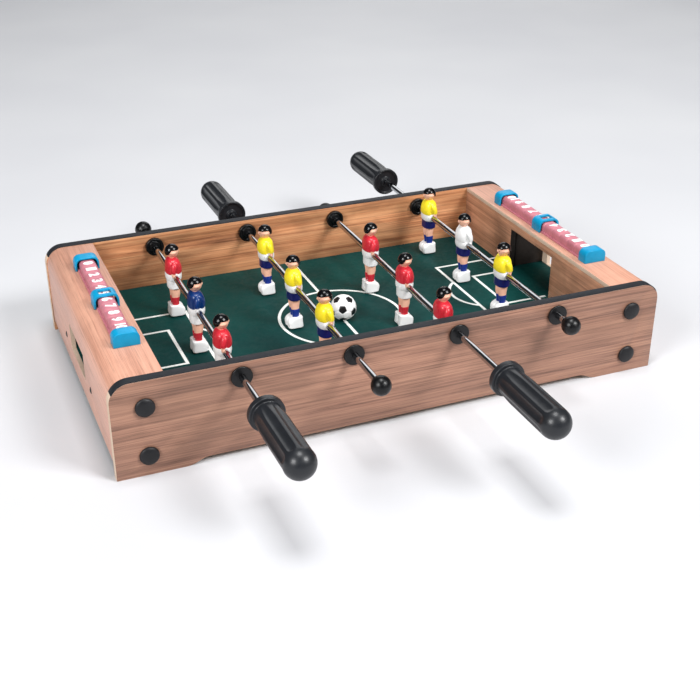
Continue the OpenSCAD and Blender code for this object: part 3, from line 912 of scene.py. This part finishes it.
def digits(text, height, width, depth):
    """Bold mesh of a short number about the origin: points in mm, up along Y, and faces."""
    curve = bpy.data.curves.new("digits", "FONT")
    curve.body = text
    curve.offset = 0.035
    curve.extrude = 0.5
    curve.resolution_u = 6
    temp = bpy.data.objects.new("digits.temp", curve)
    bpy.context.scene.collection.objects.link(temp)
    ready = temp.evaluated_get(bpy.context.evaluated_depsgraph_get())
    mesh = bpy.data.meshes.new_from_object(ready)
    spans = [[f(v.co[i] for v in mesh.vertices) for f in (min, max)] for i in range(3)]
    middles = [(low + high) / 2 for low, high in spans]
    scales = [size / (high - low) for size, (low, high) in zip((width, height, depth), spans)]
    points = [
        Vector([(v.co[i] - middles[i]) * scales[i] for i in range(3)]) for v in mesh.vertices
    ]
    faces = [list(p.vertices) for p in mesh.polygons]
    bpy.data.objects.remove(temp)
    bpy.data.curves.remove(curve)
    return points, faces


def score_bar(end, side):
    """Pink bar on a wider foot, in eleven steps with raised white numbers from 0 to 10."""
    low, high = box_mm(f"score_bar_{end}")
    ends_low, ends_high = box_mm(f"score_ends_{end}")
    x, half_foot = (low.x + high.x) / 2, (high.x - low.x) / 2
    foot_h, half_w, top_r = 1.5, 7.5, 4.0
    count, end_l = 11, 12.0
    digit_h, one_digit_w, two_digit_w, digit_t = 9.4, 6.2, 9.6, 0.5
    first_y, last_y = ends_low.y + end_l, ends_high.y - end_l
    pitch = (last_y - first_y) / count
    shells = []
    # Places along the bar, and how far in its section is there: a groove between two steps.
    steps = [(low.y, 0.3), (first_y, 0.3), (first_y, 0.6)]
    for k in range(count):
        y0, y1 = first_y + pitch * k, first_y + pitch * (k + 1)
        steps += [(y0 + 0.25, 0.5), (y0 + 0.7, 0.1), (y0 + 1.2, 0.0)]
        steps += [(y1 - 1.2, 0.0), (y1 - 0.7, 0.1), (y1 - 0.25, 0.5), (y1, 0.6)]
        number = str(k if side > 0 else count - 1 - k)
        width = one_digit_w if len(number) == 1 else two_digit_w
        points, faces = digits(number, digit_h, width, digit_t)
        shells.append((over_bar(points, x, (y0 + y1) / 2, high.z, half_w, top_r, side), faces, 1))
    steps += [(last_y, 0.3), (high.y, 0.3)]
    rows = [
        bar_row(x, y, low.z, high.z, half_foot, foot_h, half_w, top_r, inset) for y, inset in steps
    ]
    shells.append((*strip_shell(rows), 0))
    obj = mesh_object(f"{end}_score_bar", shells, [PINK, WHITE])
    place(obj, "frame", "score_bar", f"score_bar_{end}")


def bar_row(x, y, foot_z, top_z, half_foot, foot_h, half_w, top_r, inset, steps=8):
    """One cross-section of the bar, from its foot up over the rounded top and down again."""
    half = [(half_foot, foot_z), (half_foot, foot_z + foot_h), (half_w - inset, foot_z + foot_h)]
    r = top_r - inset
    for k in range(steps + 1):
        a = math.pi / 2 * k / steps
        half.append((half_w - top_r + r * math.cos(a), top_z - top_r + r * math.sin(a)))
    left = [(x - dx, y, z) for dx, z in half]
    return left + [(x + dx, y, z) for dx, z in reversed(half)]


def strip_shell(rows):
    """Closed shell through rows of matching cross-sections."""
    n = len(rows[0])
    verts = [p for row in rows for p in row]
    faces = bands([
        (list(range(i * n, i * n + n)), list(range(i * n + n, i * n + 2 * n)))
        for i in range(len(rows) - 1)
    ], n)
    return verts, faces + [list(range(n)), list(range(len(verts) - n, len(verts)))]


def over_bar(points, x, y, top_z, half_w, top_r, side):
    """Flat digits laid over the bar's top with their tops towards the field, just proud."""
    result = []
    flat, proud = half_w - top_r, 0.05
    for p in points:
        across = -side * p.y
        bent = max(abs(across) - flat, 0.0) / top_r
        r = top_r + proud + p.z
        out = math.copysign(min(abs(across), flat) + r * math.sin(bent), across)
        result.append((x + out, y + side * p.x, top_z - top_r + r * math.cos(bent)))
    return result


def score_counters():
    """Bar, two end pieces and slider on each end."""
    for end, side in ENDS.items():
        score_bar(end, side)
        blue_part(f"score_ends_{end}", f"{end}_score_ends", "frame")
        blue_part(f"score_slider_{end}", f"{end}_score_slider", f"score_slider_{end}")


# ---------------------------------------------------------------- ball

def football():
    """Truncated icosahedron blown up to a ball, with sunk seams and black pentagons."""
    low, high = box_mm("ball")
    centre, radius = (low + high) / 2, (high.z - low.z) / 2
    bm = bmesh.new()
    bmesh.ops.create_icosphere(bm, subdivisions=1, radius=1.0)
    bmesh.ops.bevel(
        bm, geom=list(bm.verts), offset=100 / 3, offset_type="PERCENT", segments=1, affect="VERTICES"
    )
    bmesh.ops.remove_doubles(bm, verts=bm.verts, dist=1e-4)
    shells = []
    turn = Matrix.Identity(3)
    for angle, axis in ((0.5, "X"), (0.35, "Y"), (0.2, "Z")):
        turn = turn @ Matrix.Rotation(angle, 3, axis)
    rings_n, per_side = 9, 6
    seam_start, seam_depth = 0.86, 0.35
    for face in bm.faces:
        corners = [turn @ v.co for v in face.verts]
        middle = sum(corners, Vector()) / len(corners)
        count = len(corners) * per_side
        verts, rings = [], []
        for i in range(rings_n + 1):
            if i == 0:
                rings.append([0] * count)
                verts.append(centre + middle.normalized() * radius)
                continue
            share = i / rings_n
            sink = seam_depth * smoothstep(seam_start, 1.0, share)
            rings.append(list(range(len(verts), len(verts) + count)))
            for k in range(count):
                a, b = corners[k // per_side], corners[(k // per_side + 1) % len(corners)]
                edge = a.lerp(b, (k % per_side) / per_side)
                p = middle.lerp(edge, share).normalized() * (radius - sink)
                verts.append(centre + p)
        black = 1 if len(corners) == 5 else 0
        shells.append((verts, bands(list(zip(rings, rings[1:])), count), black))
    bm.free()
    obj = mesh_object("football", shells, [WHITE, BALL_BLACK], 70)
    place(obj, "ball", "ball_plastic", "ball")


# ---------------------------------------------------------------- carried-over nodes

def cad_materials():
    """Rods and figure screws keep their CAD shape, in plated steel."""
    for rod in RODS:
        for node in (f"rod_{rod}", f"figure_screws_{rod}"):
            mesh = NODES[node].data
            mesh.materials.clear()
            mesh.materials.append(STEEL)


# ---------------------------------------------------------------- stage

def stage():
    """Pale floor, soft studio lights and the camera at the photographed angle."""
    floor_mesh = bpy.data.meshes.new("floor")
    half = 6.0
    corners = [(-half, -half, 0), (half, -half, 0), (half, half, 0), (-half, half, 0)]
    floor_mesh.from_pydata(corners, [], [[0, 1, 2, 3]])
    floor = bpy.data.objects.new("floor", floor_mesh)
    bpy.context.scene.collection.objects.link(floor)
    s = Shader("floor_paint", Roughness=0.7)
    s.color(s.ramp(s.noise(3, detail=2), (0.3, srgb(200, 201, 205)), (0.7, srgb(206, 207, 210))))
    floor_mesh.materials.append(s.material)

    world = bpy.data.worlds.new("studio")
    world.use_nodes = True
    background = world.node_tree.nodes["Background"]
    background.inputs["Color"].default_value = (0.92, 0.95, 1.0, 1.0)
    background.inputs["Strength"].default_value = 0.06
    bpy.context.scene.world = world

    aim = Vector((0, 0, 0.04))
    for name, at, size, watts in (
        ("key", (1.5, -2.0, 2.2), 1.1, 94),
        ("back", (1.0, 2.45, 1.35), 1.8, 15),
        ("fill", (-2.4, -1.3, 1.7), 1.2, 74),
        ("top", (0.0, -0.2, 2.8), 1.0, 48),
    ):
        light = bpy.data.lights.new(name, "AREA")
        light.size = size
        light.energy = watts
        obj = bpy.data.objects.new(name, light)
        obj.location = at
        obj.rotation_euler = (aim - Vector(at)).to_track_quat("-Z", "Y").to_euler()
        obj.visible_camera = False
        bpy.context.scene.collection.objects.link(obj)

    camera = bpy.data.cameras.new("camera")
    camera.lens = 59
    obj = bpy.data.objects.new("camera", camera)
    obj.location = (-0.3728, -0.9281, 0.5283)
    obj.rotation_euler = Vector((0.336, 0.816, -0.471)).to_track_quat("-Z", "Y").to_euler()
    bpy.context.scene.collection.objects.link(obj)
    bpy.context.scene.camera = obj
    bpy.context.scene.view_settings.view_transform = "Standard"


# ---------------------------------------------------------------- the table

for wall, side in WALLS.items():
    side_panel(wall, side)
    edge_strip(wall)
    bushes(wall, side)
field_board()
for end, side in ENDS.items():
    goal_board(end, side)
    end_cover(end, side)
    for wall in WALLS:
        end_blocks(end, wall)
frame_bolts()
end_screws()
for rod in RODS:
    grip(rod)
    ball_knob(rod)
figures()
score_counters()
football()
cad_materials()
stage()
